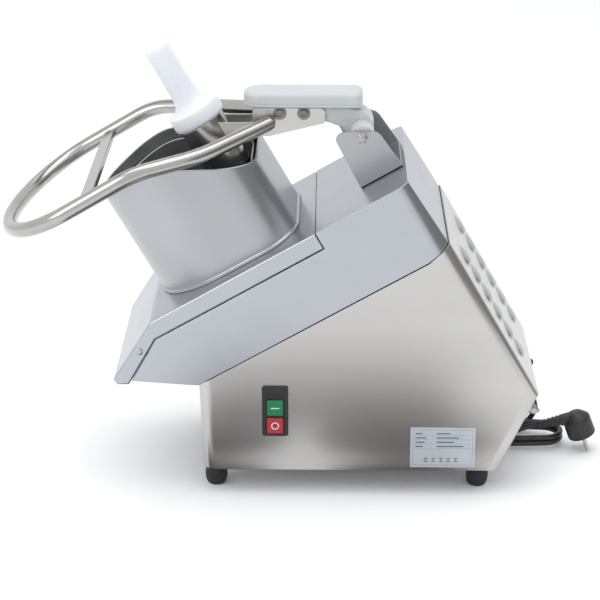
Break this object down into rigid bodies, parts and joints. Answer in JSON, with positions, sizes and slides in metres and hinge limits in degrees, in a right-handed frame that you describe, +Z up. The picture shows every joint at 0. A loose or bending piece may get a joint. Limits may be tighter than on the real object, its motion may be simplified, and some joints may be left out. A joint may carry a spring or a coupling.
{
  "type": "vegetable cutter",
  "caption": "Tabletop electric vegetable cutter: D-shaped hopper with a lever pusher and white plunger on a tilted cast head, stainless base with switch and mains lead.",
  "frame": {"origin": "on the floor under the middle of the machine's box, handle loop to rear edge, without the mains lead", "axes": "+Z up, +X towards the machine's rear, the handle and the chute towards -X, the switch on the -Y side"},
  "size_m": [0.7257, 0.2956, 0.5288],
  "materials": {
    "stainless_sheet": "brushed",
    "cast_aluminium": "smooth silver finish",
    "satin_steel": "satin",
    "bright_steel": "polished",
    "painted_cover": "light grey paint",
    "rubber": "matt",
    "black_plastic": "satin",
    "cord_sheath": "satin sheath",
    "white_plastic": "satin",
    "green_plastic": "gloss",
    "red_plastic": "gloss",
    "label_foil": "printed foil",
    "motor_paint": "painted"
  },
  "bodies": {
    "frame": {"base_housing": "stainless_sheet", "bottom_plate": "stainless_sheet", "motor_plate": "stainless_sheet", "head_casting": "cast_aluminium", "lid": "cast_aluminium", "pivot_bracket": "cast_aluminium", "bearing_housing": "cast_aluminium", "hopper": "satin_steel", "pivot_bolt": "bright_steel", "lid_pin_near": "bright_steel", "lid_pin_far": "bright_steel", "upper_bearing": "bright_steel", "lower_bearing": "bright_steel", "earth_terminal": "bright_steel", "plug_pin_near": "bright_steel", "plug_pin_far": "bright_steel", "foot_front_near": "rubber", "foot_front_far": "rubber", "foot_rear_near": "rubber", "foot_rear_far": "rubber", "rear_bumper": "rubber", "spindle_seal": "rubber", "drive_belt": "rubber", "switch_housing": "black_plastic", "control_box": "black_plastic", "lid_magnet": "black_plastic", "reed_switch": "black_plastic", "cable_gland": "black_plastic", "cord_tie": "black_plastic", "plug": "black_plastic", "cord_lead": "cord_sheath", "cord_tail": "cord_sheath", "cord_hank": "cord_sheath", "capacitor": "white_plastic", "rating_plate": "label_foil", "motor_body": "motor_paint"},
    "lever": {"handle_loop": "bright_steel", "handle_crossbar": "bright_steel", "lever_arm": "cast_aluminium", "lever_plate_near": "stainless_sheet", "lever_plate_far": "stainless_sheet", "arm_cover": "painted_cover", "arm_bolt_front": "bright_steel", "arm_bolt_rear": "bright_steel", "pusher": "satin_steel", "feed_tube": "bright_steel"},
    "plunger": {"plunger": "white_plastic"},
    "spindle": {"spindle": "bright_steel", "slicing_disc": "cast_aluminium", "slicing_blade_1": "bright_steel", "slicing_blade_2": "bright_steel", "ejector_disc": "white_plastic", "driven_pulley": "cast_aluminium"},
    "motor_rotor": {"motor_pulley": "cast_aluminium", "motor_shaft": "bright_steel", "motor_fan": "black_plastic"},
    "green_button": {"green_button": "green_plastic"},
    "red_button": {"red_button": "red_plastic"}
  },
  "joints": [
    {"name": "lever_pivot", "type": "hinge", "parent": "frame", "child": "lever", "pos_m": [0.10737, 0, 0.42403], "axis": [0, 1, 0], "range_deg": [0, 90]},
    {"name": "plunger_slide", "type": "slide", "parent": "lever", "child": "plunger", "axis": [-0.5, 0, 0.866], "range_m": [0, 0.13]},
    {"name": "spindle_spin", "type": "hinge", "parent": "frame", "child": "spindle", "pos_m": [-0.04879, 0, 0.2729], "axis": [-0.5, 0, 0.866], "continuous": true},
    {"name": "motor_spin", "type": "hinge", "parent": "frame", "child": "motor_rotor", "pos_m": [0.08804, 0, 0.3519], "axis": [-0.5, 0, 0.866], "continuous": true},
    {"name": "green_button_press", "type": "slide", "parent": "frame", "child": "green_button", "axis": [0, 1, 0], "range_m": [0, 0.003], "stiffness_N_per_m": 400},
    {"name": "red_button_press", "type": "slide", "parent": "frame", "child": "red_button", "axis": [0, 1, 0], "range_m": [0, 0.003], "stiffness_N_per_m": 400}
  ],
  "couplings": [
    {"joint": "motor_spin", "follows": "spindle_spin", "ratio": 4.5}
  ]
}
